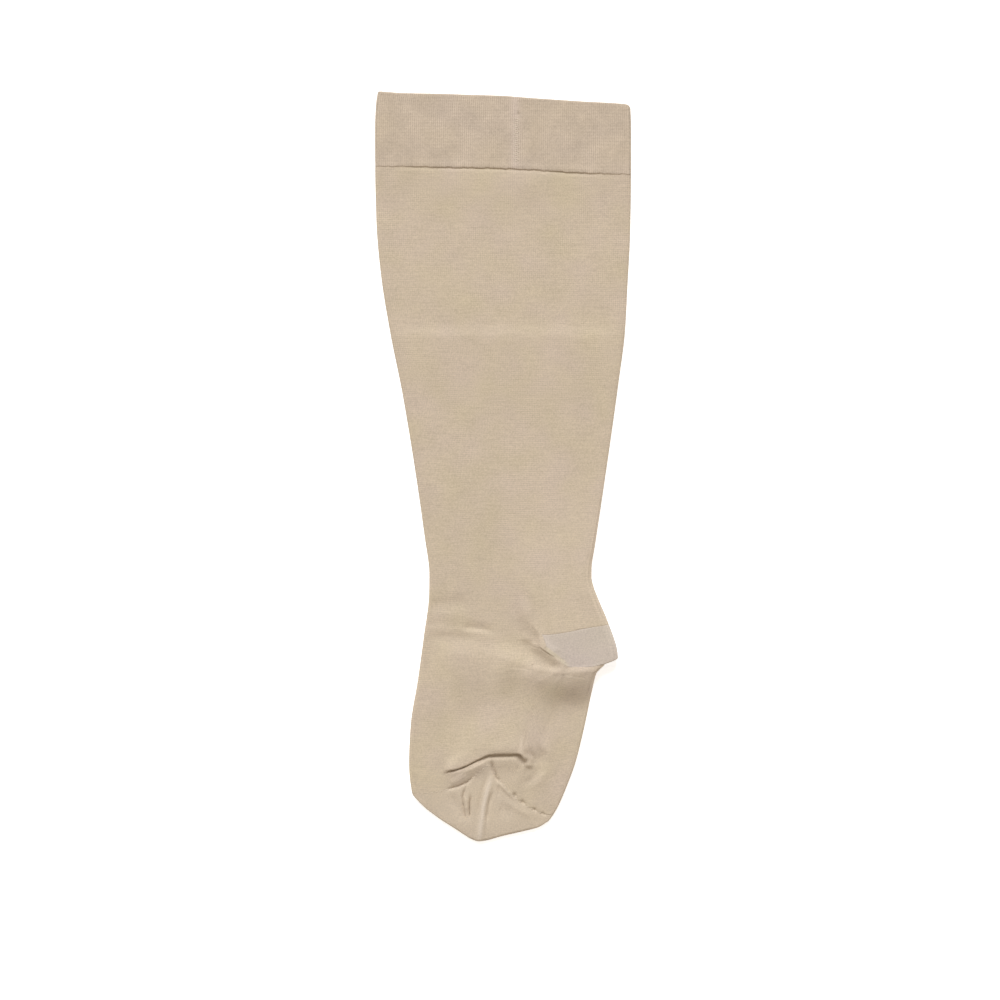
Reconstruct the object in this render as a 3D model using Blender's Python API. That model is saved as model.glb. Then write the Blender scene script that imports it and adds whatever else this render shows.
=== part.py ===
"""A knee-high compression stocking with a closed toe, laid flat on its side with the heel to the right.

The leg, heel, foot and toe are one knitted tube. The function stocking_point(s, c) gives the middle of its
cloth. s runs down the tube through the stages below, a whole number for each, and c runs round it: over
the upper layer (0 to 1), round the right edge (to 2), back along the lower layer (to 3) and round the left
edge (to 4). Each piece is a patch of that surface, given its wall. The band is a second, shorter tube.

Sizes are in millimetres. "up" is the distance up the stocking from the toe's tip, x is across it, and u is
the share of the way across from the left edge to the right.
"""

import bpy
import numpy as np

MM = 0.001

# ---- driving sizes
LENGTH = 460.6  # from the toe's tip to the band's upper edge
WALL = 1.0  # the knitted cloth
BAND_WALL = 1.8  # the band is double
LAYER_GAP = 1.0  # air between the two layers of the leg and foot
BAND_GAP = 0.6
SEAM = 0.45  # between two pieces, measured up the stocking
FOLD_RADIUS = 0.7  # of the cloth's middle, where it folds back on itself
FLAT_RUN = 0.6  # least length of cloth between a fold's two bends
UNFOLDED = 3.0  # length of a fold's rows where the cloth lies unfolded
HEEL_RISE = 105.0  # the leg rises to the heel's folds over this length
HEEL_NEAR = 24.0  # this near to the heel's folds, the rise is as wide as they are
FOOT_FALL = 27.0  # the foot comes down to the table over this length
LIP_RISE = 34.0  # the foot rises to the lip over the toes
LIP_NEAR = 9.0  # this near to the lip, the rise is as wide as the fold itself

# ---- the outline: rows of (up, x)
LEFT_EDGE = [
    (20.0, -47.0), (25.2, -52.3), (30.1, -56.0), (48.0, -57.8), (70.1, -56.9), (99.6, -52.3), (126.7, -48.6),
    (151.3, -45.5), (163.6, -45.3), (188.2, -48.3), (232.5, -54.7), (276.8, -62.1), (313.6, -69.5),
    (350.6, -75.3), (380.1, -77.8), (413.9, -78.6), (437.0, -78.7), (452.6, -78.1), (460.6, -76.9),
]
BACK_EDGE = [  # the heel's tip, the ankle and the calf
    (111.9, 70.7), (117.5, 70.1), (134.4, 64.6), (150.7, 57.8), (156.8, 55.5), (162.4, 54.3), (168.5, 54.4),
    (180.8, 56.3), (225.1, 63.0), (284.1, 71.3), (313.6, 75.0), (343.2, 76.6), (372.7, 78.1), (410.0, 78.7),
    (439.1, 78.7), (451.0, 78.3),
]
SOLE_EDGE = [
    (12.0, 27.2), (14.1, 29.2), (21.5, 33.8), (33.2, 38.9), (48.0, 44.4), (70.1, 49.9), (92.2, 54.6),
    (103.6, 57.4), (106.4, 59.8), (109.4, 62.5), (123.9, 63.2),
]

# ---- lines across the stocking, from its left edge to its right: rows of (x, up)
BAND_TOP = [
    (-76.9, 460.6), (-62.0, 459.6), (-38.7, 459.1), (-20.3, 458.5), (-0.6, 457.9), (16.6, 456.6),
    (48.0, 454.5), (75.0, 452.9), (77.4, 452.4), (78.3, 451.0),
]
BAND_FOOT = [
    (-78.6, 413.9), (-62.7, 414.0), (-37.5, 413.6), (-6.8, 413.1), (21.9, 411.8), (43.8, 410.4),
    (78.7, 409.0),
]
HEEL_TOP = [  # a seam from x = 25 on, and to the left only a row of the grid
    (-48.8, 136.0), (-20.0, 138.4), (4.0, 139.0), (15.0, 135.0), (25.0, 127.2), (36.6, 128.4), (50.3, 131.1),
    (65.0, 133.3),
]
HEEL_FOLD = [
    (-49.7, 118.7), (-20.3, 122.6), (4.3, 124.4), (14.0, 124.0), (20.1, 121.7), (25.6, 117.6), (31.1, 113.6),
    (36.6, 109.2), (40.6, 107.1), (44.3, 106.7), (54.0, 107.1), (61.0, 108.6), (66.2, 110.3), (70.7, 112.0),
]
TOE_LIP = [
    (-57.8, 46.0), (-44.0, 43.8), (-31.4, 44.1), (-24.6, 46.0), (-15.4, 50.4), (-8.0, 53.4), (1.2, 53.9),
    (9.2, 54.0), (13.0, 51.6), (25.0, 49.4), (44.3, 48.0),
]
TOE_SEAM = [
    (-55.2, 29.4), (-46.1, 29.8), (-38.7, 31.0), (-30.1, 33.2), (-21.5, 36.8), (-14.1, 42.8), (-7.5, 47.6),
    (-3.5, 42.0), (5.5, 29.3), (15.1, 22.1), (22.0, 18.4), (31.2, 16.0),
]
TOE_SEAM_UNDER = [(-55.2, 29.4), (-38.0, 31.5), (-12.0, 31.0), (12.0, 24.0), (31.2, 16.0)]
TOE_END = [
    (-47.0, 20.0), (-37.5, 13.0), (-30.1, 8.3), (-22.8, 3.5), (-19.1, 1.3), (-15.0, 0.0), (-11.7, 0.3),
    (-0.6, 3.2), (14.1, 6.6), (21.5, 8.6), (27.2, 12.0),
]

# ---- folds: where, from left to right in u, each opens from nothing to a half turn, deepens to its full
# depth and closes again (from, to), and that depth
HEEL_TUCK = {"opens": (0.515, 0.67), "deepens": (0.645, 0.80), "closes": (3.0, 2.0), "depth": 12.0}
HEEL_SPREAD = (0.44, 0.72)  # where in u the rise to the heel's folds spreads to, further up the leg
LIP_TUCK = {"opens": (0.17, 0.29), "deepens": (0.26, 0.40), "closes": (0.74, 0.60), "depth": 3.0}
LIP_SPREAD = {"from": (0.10, 0.40), "to": (0.94, 0.52)}  # where in u the lip's rise spreads to, further back
DRAWN_SHARE = (0.7, 1.0)  # the part of the tuck's rows that is drawn in from the heel's tip to the sole

# ---- soft ridges (height above 0) and hollows (below 0) of the upper layer, each along a straight line,
# with their half widths on the band's side and on the toe's side
SWELLS = [
    {"at": "calf", "from": (-80.0, 310.4), "to": (80.0, 308.6), "height": 1.1, "widths": (4.0, 22.0)},
    {"at": "instep", "from": (-42.0, 113.6), "to": (12.0, 111.5), "height": 0.9, "widths": (4.0, 9.0)},
    {"at": "heel's front", "from": (16.0, 107.0), "to": (56.0, 103.5), "height": 2.6, "widths": (4.2, 11.0)},
    {"at": "arch", "from": (30.0, 86.0), "to": (56.0, 82.0), "height": -1.5, "widths": (6.5, 6.5)},
    {"at": "heel's side", "from": (20.0, 119.0), "to": (34.0, 111.0), "height": -0.6, "widths": (3.4, 3.4)},
    {"at": "toe", "from": (-6.8, 40.4), "to": (-14.6, 3.0), "height": 1.1, "widths": (2.4, 2.4)},
    {"at": "lip's end", "from": (15.6, 51.0), "to": (13.5, 44.6), "height": 0.9, "widths": (2.6, 2.6)},
]

# ---- height that the upper layer gains between the edges: rows of (up, height)
LOFT = [
    (0.0, 0.3), (14.0, 0.6), (60.0, 0.7), (97.0, 1.1), (120.0, 0.7), (150.0, 0.5), (300.0, 0.3),
    (380.0, 0.4), (414.0, 0.9),
]
EDGE_SHARE = 0.22  # the share of the width over which it is gained
FULL_FROM = 388.0  # but towards the band the leg is full to its edges,
FULL_OVER = 24.0  # over this length
TOE_CROWN = 0.6  # extra thickness of the closed toe between its ends

# ---- the grid: rows in each stage of s, the uneven ones, and the columns' places across a layer
STAGES = {
    "leg": 20, "heel_seam": 1, "pocket": 4, "tuck": 12, "sole_seam": 1, "foot": 13, "lip": 9, "toes": 4,
    "toe_seam": 1, "cap": 6, "shut": 3,
}
LEG_ROWS = [  # closer at the fold from packing and above the heel
    0.0, 0.06, 0.13, 0.20, 0.27, 0.315, 0.335, 0.355, 0.375, 0.395, 0.44, 0.52, 0.60, 0.68, 0.76, 0.83,
    0.88, 0.92, 0.95, 0.98,
]
FOOT_ROWS = [0.0, 0.10, 0.19, 0.235, 0.28, 0.34, 0.42, 0.50, 0.60, 0.70, 0.80, 0.88, 0.95]
BAND_ROWS = 4
COLUMNS = [
    0.0, 0.05, 0.11, 0.17, 0.22, 0.27, 0.33, 0.39, 0.45, 0.50, 0.54, 0.58, 0.62, 0.69, 0.74, 0.79, 0.85,
    0.91, 0.96, 1.0,
]
EDGE_COLUMNS = 3
CREASE_ANGLE = np.radians(50.0)
POCKET_START = 0.652  # the heel pocket's pointed end, on both layers
POCKET_GAP = 0.0042


# ---- helpers
def smooth(x):
    """0 up to x = 0, 1 from x = 1, and level at both."""
    x = np.clip(x, 0.0, 1.0)
    return x * x * (3.0 - 2.0 * x)


def blend(u, span):
    """smooth() as u goes from the span's first value to its second."""
    return smooth((u - span[0]) / (span[1] - span[0]))


def follow(table, at):
    """A smooth curve through the table's rows, which never overshoots them: its value at a key."""
    key, value = np.array(table).T
    step = np.diff(key)
    slope = np.diff(value) / step
    before, after = slope[:-1], slope[1:]
    level = before * after <= 0.0
    inner = np.where(level, 0.0, 2.0 * before * after / np.where(level, 1.0, before + after))
    tangent = np.concatenate([slope[:1], inner, slope[-1:]])
    at = np.clip(at, key[0], key[-1])
    i = np.clip(np.searchsorted(key, at, side="right") - 1, 0, len(step) - 1)
    t = (at - key[i]) / step[i]
    bend = step[i] * t * (1.0 - t) * (tangent[i] * (1.0 - t) - tangent[i + 1] * t)
    return value[i] + (value[i + 1] - value[i]) * smooth(t) + bend


def across(line, u):
    """How far up the stocking a line lies, at share u of the way from its left end to its right."""
    return follow(line, line[0][0] + u * (line[-1][0] - line[0][0]))


def stage(s, name):
    """How much of a stage row s has passed, from 0 to 1."""
    return np.clip(s - list(STAGES).index(name), 0.0, 1.0)


def fold_at(u, tuck):
    """A fold's turning angle, and the run of cloth between its two bends, at share u across."""
    turn = np.pi * blend(u, tuck["opens"]) * blend(u, tuck["closes"])
    run = FLAT_RUN + tuck["depth"] * blend(u, tuck["deepens"]) * blend(u, tuck["closes"])
    return turn, run


def fold_path(q, turn, run):
    """How far on, and how far down, the cloth is at share q of a Z-shaped fold.

    It bends down through the angle turn, lies straight for the length run, and bends forward again.
    """
    bent = turn * np.clip(3.0 * q, 0.0, 1.0)
    straight = run * np.clip(3.0 * q - 1.0, 0.0, 1.0)
    left_over = turn * (1.0 - np.clip(3.0 * q - 2.0, 0.0, 1.0))
    on = FOLD_RADIUS * (np.sin(bent) + np.sin(turn) - np.sin(left_over)) + straight * np.cos(turn)
    down = FOLD_RADIUS * (1.0 - np.cos(bent) + np.cos(left_over) - np.cos(turn)) + straight * np.sin(turn)
    still = UNFOLDED * (1.0 + np.cos(turn)) / 2.0
    return on + still * q, down


def swells(x, up):
    """The ridges and hollows: each is a bell across its line, and fades past the line's ends."""
    total = np.zeros(np.shape(x))
    for swell in SWELLS:
        (x0, up0), (x1, up1) = swell["from"], swell["to"]
        length = np.hypot(x1 - x0, up1 - up0)
        along = ((x - x0) * (x1 - x0) + (up - up0) * (up1 - up0)) / length
        aside = ((up - up0) * (x1 - x0) - (x - x0) * (up1 - up0)) / length
        past = along - np.clip(along, 0.0, length)
        above, below = swell["widths"]
        width = np.where(aside > 0.0, above, below)
        total += swell["height"] * np.exp(-(aside**2) / (2.0 * width**2) - past**2 / (2.0 * above**2))
    return total


# ---- the stocking's surface
def from_edge(u):
    """0 at either edge of the stocking, and 1 from EDGE_SHARE inwards."""
    return smooth(np.minimum(u, 1.0 - u) / EDGE_SHARE)


def toe_radius(u):
    """Radius of the toe's closed end."""
    return (WALL + LAYER_GAP + TOE_CROWN * from_edge(u)) / 2.0


def up_at(s, u, upper):
    """How far up the stocking row s lies at share u across, and where the two folds begin and end there.

    upper is 1 on the upper layer and 0 on the lower one, which has no lip and a plainer toe seam.
    """
    turn, run = fold_at(u, HEEL_TUCK)
    lip_turn, lip_run = fold_at(u, LIP_TUCK)
    lip_turn, lip_run = lip_turn * upper, FLAT_RUN + (lip_run - FLAT_RUN) * upper
    fold_front = FOLD_RADIUS + WALL / 2.0
    heel_fold = across(HEEL_FOLD, u) + fold_front * np.sin(turn / 2.0)
    heel_end = heel_fold - fold_path(1.0, turn, run)[0]
    toe_lip = across(TOE_LIP, u) + fold_front * np.sin(lip_turn / 2.0)
    lip_end = toe_lip - fold_path(1.0, lip_turn, lip_run)[0]
    heel_top = across(HEEL_TOP, u)
    toe_seam = across(TOE_SEAM, u) * upper + across(TOE_SEAM_UNDER, u) * (1.0 - upper)
    stops = [
        across(BAND_FOOT, u) - SEAM, heel_top + SEAM / 2.0, heel_top - SEAM / 2.0, heel_fold, heel_end,
        heel_end - SEAM, toe_lip, lip_end, toe_seam + SEAM / 2.0, toe_seam - SEAM / 2.0,
        across(TOE_END, u) + WALL / 2.0 + toe_radius(u),
    ]
    up = stops[0]
    for name, start, end in zip(STAGES, stops[:-1], stops[1:]):
        share = stage(s, name)
        if name == "tuck":
            up = up - fold_path(share, turn, run)[0]
        elif name == "lip":
            up = up - fold_path(share, lip_turn, lip_run)[0]
        else:
            up = up + (end - start) * share
    up = up - toe_radius(u) * np.sin(stage(s, "shut") * np.pi / 2.0)
    return up, heel_fold, heel_end, toe_lip, lip_end


def edges(s):
    """x of the cloth's middle at both ends of row s, and how far the tuck has drawn in the right one."""
    up_left = up_at(s, np.zeros(s.shape), 0.0)[0]
    up_right, heel_fold, heel_end, _, _ = up_at(s, np.ones(s.shape), 0.0)
    heel_tip = follow(BACK_EDGE, heel_fold)
    turn, run = fold_at(1.0, HEEL_TUCK)
    stack, down = fold_path(1.0, turn, run)[1], fold_path(stage(s, "tuck"), turn, run)[1]
    drawn_in = down + (heel_tip - follow(SOLE_EDGE, heel_end) - stack) * smooth(3.0 * stage(s, "tuck") - 1.0)
    right = np.where(stage(s, "tuck") > 0.0, heel_tip, follow(BACK_EDGE, up_right)) - drawn_in
    right = np.where(stage(s, "foot") > 0.0, follow(SOLE_EDGE, up_right), right)
    return follow(LEFT_EDGE, up_left) + WALL / 2.0, right - WALL / 2.0, drawn_in


def layers(s, u, x):
    """Heights of the lower and upper layers' middles, and how far up the stocking each lies."""
    turn, run = fold_at(u, HEEL_TUCK)
    heel_stack = fold_path(1.0, turn, run)[1]
    heel_down = fold_path(stage(s, "tuck"), turn, run)[1]
    lip_turn, lip_run = fold_at(u, LIP_TUCK)
    lip_stack = fold_path(1.0, lip_turn, lip_run)[1]
    lip_down = fold_path(stage(s, "lip"), lip_turn, lip_run)[1]

    low_up = up_at(s, u, 0.0)[0]
    top_up, heel_fold, heel_end, toe_lip, lip_end = up_at(s, u, 1.0)
    on_leg, on_foot, before_lip = stage(s, "tuck") == 0.0, stage(s, "foot") > 0.0, stage(s, "lip") == 0.0
    above_heel = (top_up - np.maximum(heel_fold, heel_end)) * on_leg
    near = 1.0 - smooth(above_heel / HEEL_NEAR)
    spread = 4.0 * FOLD_RADIUS * blend(u, HEEL_SPREAD)
    heel_rise = heel_stack * near + spread * (1.0 - smooth(above_heel / HEEL_RISE) - near)
    fall = 1.0 - smooth((np.minimum(heel_fold, heel_end - SEAM) - low_up) / FOOT_FALL) * on_foot
    behind_lip = (top_up - np.maximum(toe_lip, lip_end)) * before_lip
    near = 1.0 - smooth(behind_lip / LIP_NEAR)
    spread = 4.0 * FOLD_RADIUS * blend(u, LIP_SPREAD["from"]) * blend(u, LIP_SPREAD["to"])
    lip_rise = lip_stack * near + spread * (1.0 - smooth(behind_lip / LIP_RISE) - near)

    low = WALL / 2.0 + heel_down * fall
    top = low + WALL + LAYER_GAP + 2.0 * (heel_rise - heel_down) + lip_rise - lip_down
    full = from_edge(u) + (1.0 - from_edge(u)) * smooth((top_up - FULL_FROM) / FULL_OVER)
    top = top + follow(LOFT, top_up) * full + swells(x, top_up) * from_edge(u)
    return low, top, low_up, top_up


def round_tube(c, left, right, half_left, half_right):
    """x round a flattened tube, and its height as a share of half the tube's thickness, from -1 to 1."""
    share = np.where(c < 2.0, np.clip(c, 0.0, 1.0), np.clip(3.0 - c, 0.0, 1.0))
    right_turn = np.clip(c - 1.0, 0.0, 1.0) * np.pi
    left_turn = np.clip(c - 3.0, 0.0, 1.0) * np.pi
    x = left + half_left + (right - half_right - left - half_left) * share
    x = x + half_right * np.sin(right_turn) - half_left * np.sin(left_turn)
    return x, np.where(c < 2.5, np.cos(right_turn), -np.cos(left_turn))


def stocking_point(s, c):
    """The middle of the cloth at row s and place c round the tube."""
    left, right, drawn_in = edges(s)
    low_left, top_left, _, _ = layers(s, np.zeros(s.shape), left)
    low_right, top_right, _, _ = layers(s, np.ones(s.shape), right)
    shut = np.cos(stage(s, "shut") * np.pi / 2.0)
    half_left, half_right = (top_left - low_left) / 2.0 * shut, (top_right - low_right) / 2.0 * shut
    x, side = round_tube(c, left, right, half_left, half_right)
    u = (x - left) / (right - left)
    x = x + drawn_in * (1.0 - smooth(stage(s, "foot"))) * (u - blend(u, DRAWN_SHARE))
    low, top, low_up, top_up = layers(s, u, x)
    height = (low + top) / 2.0 + (top - low) / 2.0 * shut * side
    return np.stack([x, np.where(side > 0.0, top_up, low_up), height], axis=-1)


def band_point(s, c):
    """The middle of the band's cloth: s is 0 at its upper edge and 1 at its lower, c as on the stocking."""
    left = follow(LEFT_EDGE, BAND_TOP[0][1] * (1.0 - s) + BAND_FOOT[0][1] * s) + BAND_WALL / 2.0
    right = follow(BACK_EDGE, BAND_TOP[-1][1] * (1.0 - s) + BAND_FOOT[-1][1] * s) - BAND_WALL / 2.0
    half = (BAND_WALL + BAND_GAP) / 2.0
    x, side = round_tube(c, left, right, half, half)
    u = (x - left) / (right - left)
    up = across(BAND_TOP, u) * (1.0 - s) + across(BAND_FOOT, u) * s
    return np.stack([x, up, BAND_WALL / 2.0 + half * (1.0 + side)], axis=-1)


# ---- from surface to solid
def outward(point, s, c, last_row):
    """Unit normals pointing out of the tube, square to the surface's slopes down it and round it."""
    tiny = 1e-4
    down = point(np.minimum(s + tiny, last_row), c) - point(np.maximum(s - tiny, 0.0), c)
    around = point(s, (c + tiny) % 4.0) - point(s, (c - tiny) % 4.0)
    normal = np.cross(down, around)
    return normal / np.maximum(np.linalg.norm(normal, axis=-1, keepdims=True), 1e-12)


def facing_column(columns, place):
    """The upper layer's column that lies over place c."""
    over = min(place, 1.0) if place < 2.0 else max(3.0 - place, 0.0)
    return int(np.argmin(np.abs(columns - over)))


def walled(name, point, rows, columns, chosen, wall, colour, shut=False):
    """A closed solid: the chosen cells of the grid of rows and columns, with half the wall to each side.

    With shut, the two layers share the points of the last row, and the tube is closed there.
    """
    s, c = np.meshgrid(rows, columns, indexing="ij")
    middle = point(s, c)
    offset = outward(point, s, c, rows[-1]) * wall / 2.0
    points = np.concatenate([(middle + offset).reshape(-1, 3), (middle - offset).reshape(-1, 3)])
    index = np.arange(s.size).reshape(s.shape)
    if shut:
        index[-1] = [index[-1, facing_column(columns, place)] for place in columns]
    inner = s.size
    faces = []

    def add(*corners):
        corners = list(dict.fromkeys(corners))
        if len(corners) > 2:
            faces.append(corners)

    for i, j in np.argwhere(chosen):
        k = (j + 1) % len(columns)
        a, b, d, e = index[i, j], index[i + 1, j], index[i + 1, k], index[i, k]
        add(a, b, d, e)
        add(inner + e, inner + d, inner + b, inner + a)
        at_end = i == len(rows) - 2
        if i == 0 or not chosen[i - 1, j]:
            add(a, e, inner + e, inner + a)
        if (at_end and not shut) or (not at_end and not chosen[i + 1, j]):
            add(d, b, inner + b, inner + d)
        if not chosen[i, j - 1]:
            add(b, a, inner + a, inner + b)
        if not chosen[i, k]:
            add(e, d, inner + d, inner + e)

    used = np.unique(np.concatenate(faces))
    placed = (points[used] - [0.0, LENGTH / 2.0, 0.0]) * MM
    mesh = bpy.data.meshes.new(name)
    mesh.from_pydata(placed.tolist(), [], [np.searchsorted(used, face).tolist() for face in faces])
    mesh.shade_smooth()
    mesh.set_sharp_from_angle(angle=CREASE_ANGLE)
    mesh.materials.append(colour)
    solid = bpy.data.objects.new(name, mesh)
    bpy.context.scene.collection.objects.link(solid)
    return solid


def knit(name, colour):
    """A matt knitted finish."""
    material = bpy.data.materials.new(name)
    material.use_nodes = True
    shader = material.node_tree.nodes["Principled BSDF"]
    shader.inputs["Base Color"].default_value = (*colour, 1.0)
    shader.inputs["Roughness"].default_value = 0.85
    shader.inputs["Metallic"].default_value = 0.0
    return material


# ---- the pieces
def grid_rows():
    """Values of s down the stocking."""
    share = {name: np.arange(count) / count for name, count in STAGES.items()}
    share["leg"], share["foot"] = np.array(LEG_ROWS), np.array(FOOT_ROWS)
    rows = [number + share[name] for number, name in enumerate(STAGES)]
    return np.append(np.concatenate(rows), float(len(STAGES)))


def grid_columns():
    """Values of c round the tube, with a close pair each side of the heel pocket's pointed end."""
    pair = [POCKET_START - POCKET_GAP / 2.0, POCKET_START + POCKET_GAP / 2.0]
    layer = np.array(sorted(COLUMNS + pair))
    bend = np.arange(1, EDGE_COLUMNS + 1) / (EDGE_COLUMNS + 1)
    return np.concatenate([layer, 1.0 + bend, 3.0 - layer[::-1], 3.0 + bend])


def build_stocking(rows, columns):
    """The leg and foot, the heel pocket and the toe cap, parted at the unchosen cells of their seams."""
    middles = (columns + np.append(columns[1:], 4.0)) / 2.0
    share = np.where(middles < 2.0, np.clip(middles, 0.0, 1.0), np.clip(3.0 - middles, 0.0, 1.0))
    names = np.repeat(list(STAGES), list(STAGES.values()))
    stage_name, share = np.meshgrid(names, share, indexing="ij")
    beside = share - POCKET_START
    at_heel = np.isin(stage_name, ["heel_seam", "pocket", "tuck", "sole_seam"])
    pocket = np.isin(stage_name, ["pocket", "tuck"]) & (beside > POCKET_GAP / 2.0)
    cap = np.isin(stage_name, ["cap", "shut"])
    leg_foot = ~cap & (stage_name != "toe_seam") & ~(at_heel & (beside > -POCKET_GAP / 2.0))
    beige, pale, ecru = (0.57, 0.46, 0.35), (0.57, 0.49, 0.41), (0.55, 0.45, 0.35)
    walled("leg_foot", stocking_point, rows, columns, leg_foot, WALL, knit("leg_knit", beige))
    walled("heel_pocket", stocking_point, rows, columns, pocket, WALL, knit("heel_knit", pale))
    walled("toe_cap", stocking_point, rows, columns, cap, WALL, knit("toe_knit", ecru), shut=True)


def build_band(columns):
    rows = np.linspace(0.0, 1.0, BAND_ROWS + 1)
    every_cell = np.ones((BAND_ROWS, len(columns)), bool)
    sand = (0.56, 0.45, 0.34)
    walled("top_band", band_point, rows, columns, every_cell, BAND_WALL, knit("band_knit", sand))


for old in list(bpy.data.objects):
    bpy.data.objects.remove(old)
build_band(grid_columns())
build_stocking(grid_rows(), grid_columns())
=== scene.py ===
import bpy
import numpy as np
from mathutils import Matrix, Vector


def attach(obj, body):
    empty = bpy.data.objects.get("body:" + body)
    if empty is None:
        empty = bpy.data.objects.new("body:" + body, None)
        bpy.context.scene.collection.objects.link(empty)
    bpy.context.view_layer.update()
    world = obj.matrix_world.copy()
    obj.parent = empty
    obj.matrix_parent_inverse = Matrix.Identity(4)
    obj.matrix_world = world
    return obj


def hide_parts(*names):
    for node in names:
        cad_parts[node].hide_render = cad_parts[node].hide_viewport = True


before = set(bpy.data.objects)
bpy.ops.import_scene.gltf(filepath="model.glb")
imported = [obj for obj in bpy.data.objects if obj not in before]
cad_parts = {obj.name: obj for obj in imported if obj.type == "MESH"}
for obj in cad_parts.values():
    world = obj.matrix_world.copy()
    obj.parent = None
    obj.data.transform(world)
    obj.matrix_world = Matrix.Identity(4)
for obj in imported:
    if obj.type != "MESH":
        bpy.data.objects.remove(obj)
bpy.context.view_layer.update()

mm = 0.001

# Places are in millimetres: x across the stocking, up along it from the toe's tip, and the height above the
# table. u is the share of the way across, from the left edge to the right.
stocking = {
    "length": 460.6,
    "wall": 1.0,  # of the knitted cloth
    "layerGap": 1.0,  # air between the two layers
    "underBand": 1.6,  # the leg's cloth runs on inside the band by this much
    "insideBand": (0.2, 0.5, 0.8, 0.95),  # and its first rows there have these shares of the wall
    "seamWall": 0.85,  # the share of the wall that is left along the cloth's own ends
    "foldRadius": 0.7,  # of the cloth's middle, where it folds back on itself
    "flatRun": 0.6,  # least length of cloth between a fold's two bends
    "unfolded": 3.0,  # length of a fold's rows where the cloth lies unfolded
    "heelRise": 105.0,  # the leg rises to the heel's folds over this length
    "heelNear": 24.0,  # and this near to them the rise has their own width
    "footFall": 27.0,  # the foot comes down to the table over this length
    "lipRise": 34.0,  # the foot rises to the lip over the toes
    "lipNear": 9.0,  # the swell behind the lip has the fold's own width this near to it
    "edgeShare": 0.22,  # the share of the width over which the upper layer gains its loft
    "fullFrom": 388.0,  # but from here up it grows full to its edges
    "fullOver": 24.0,  # over this length
    "creaseEdge": 0.022,  # the share of the width over which creases fade at either edge
    "creaseTip": 0.25,  # how far a crease has come in at its path's very ends
    "creaseGain": 3.0,  # and how fast it comes in from there, by the share of its path
    "toeCrown": 0.6,  # extra thickness of the closed toe between its ends
    "pocketStart": 0.652,  # the heel pocket's pointed end
    "drawnShare": (0.7, 1.0),  # the part of the heel's fold that is drawn in to the sole's edge
}

# The outline: rows of (up, x).
leftEdge = [
    (20.0, -47.0), (25.2, -52.3), (30.1, -56.0), (48.0, -57.8), (70.1, -56.9), (99.6, -52.3), (126.7, -48.6),
    (151.3, -45.5), (163.6, -45.3), (188.2, -48.3), (232.5, -54.7), (276.8, -62.1), (313.6, -69.5),
    (350.6, -75.3), (380.1, -77.8), (413.9, -78.6), (437.0, -78.7), (452.6, -78.1), (460.6, -76.9),
]
backEdge = [
    (111.9, 70.7), (117.5, 70.1), (134.4, 64.6), (150.7, 57.8), (156.8, 55.5), (162.4, 54.3), (168.5, 54.4),
    (180.8, 56.3), (225.1, 63.0), (284.1, 71.3), (313.6, 75.0), (343.2, 76.6), (372.7, 78.1), (410.0, 78.7),
    (439.1, 78.7), (451.0, 78.3),
]
soleEdge = [
    (12.0, 27.2), (14.1, 29.2), (21.5, 33.8), (33.2, 38.9), (48.0, 44.4), (70.1, 49.9), (92.2, 54.6),
    (103.6, 57.4), (106.4, 59.8), (109.4, 62.5), (123.9, 63.2),
]

# Lines across the stocking: rows of (x, up).
bandTop = [
    (-76.9, 460.6), (-62.0, 459.6), (-38.7, 459.1), (-20.3, 458.5), (-0.6, 457.9), (16.6, 456.6),
    (48.0, 454.5), (75.0, 452.9), (77.4, 452.4), (78.3, 451.0),
]
bandFoot = [
    (-78.6, 413.9), (-62.7, 414.0), (-37.5, 413.6), (-6.8, 413.1), (21.9, 411.8), (43.8, 410.4),
    (78.7, 409.0),
]
heelTop = [  # to the left of the pocket it is only a line of the grid
    (-48.8, 136.0), (-20.0, 138.4), (4.0, 139.0), (15.0, 135.0), (25.0, 127.2), (36.6, 128.4), (50.3, 131.1),
    (65.0, 133.3),
]
heelFold = [
    (-49.7, 118.7), (-20.3, 122.6), (4.3, 124.4), (14.0, 124.0), (20.1, 121.7), (25.6, 117.6), (31.1, 113.6),
    (36.6, 109.2), (40.6, 107.1), (44.3, 106.7), (54.0, 107.1), (61.0, 108.6), (66.2, 110.3), (70.7, 112.0),
]
toeLip = [
    (-57.8, 46.0), (-44.0, 43.8), (-31.4, 44.1), (-24.6, 46.0), (-15.4, 50.4), (-8.0, 53.4), (1.2, 53.9),
    (9.2, 54.0), (11.4, 53.7), (13.6, 52.0), (25.0, 49.4), (44.3, 48.0),
]
toeSeam = [
    (-55.2, 29.4), (-46.1, 29.8), (-38.7, 31.0), (-30.1, 33.2), (-21.5, 36.8), (-14.1, 42.8), (-7.5, 47.6),
    (-3.5, 42.0), (5.5, 29.3), (15.1, 22.1), (22.0, 18.4), (31.2, 16.0),
]
toeSeamUnder = [(-55.2, 29.4), (-38.0, 31.5), (-12.0, 31.0), (12.0, 24.0), (31.2, 16.0)]
toeEnd = [
    (-47.0, 20.0), (-37.5, 13.0), (-30.1, 8.3), (-22.8, 3.5), (-19.1, 1.3), (-15.0, 0.0), (-11.7, 0.3),
    (-0.6, 3.2), (14.1, 6.6), (21.5, 8.6), (27.2, 12.0),
]

# Where across u each fold opens to a half turn, deepens and closes again, and its full depth. The heel's
# would close only past the edge, so it runs out there.
heelTuck = {"opens": (0.515, 0.67), "deepens": (0.645, 0.80), "closes": (3.0, 2.0), "depth": 12.0}
heelSpread = (0.44, 0.72)  # further up the leg the rise is spread over this share of the width
lipTuck = {"opens": (0.17, 0.29), "deepens": (0.26, 0.40), "closes": (0.735, 0.645), "depth": 3.0}
lipSwell = {"from": (0.10, 0.40), "to": (0.94, 0.52)}  # and further back the swell spreads over these shares

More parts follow.
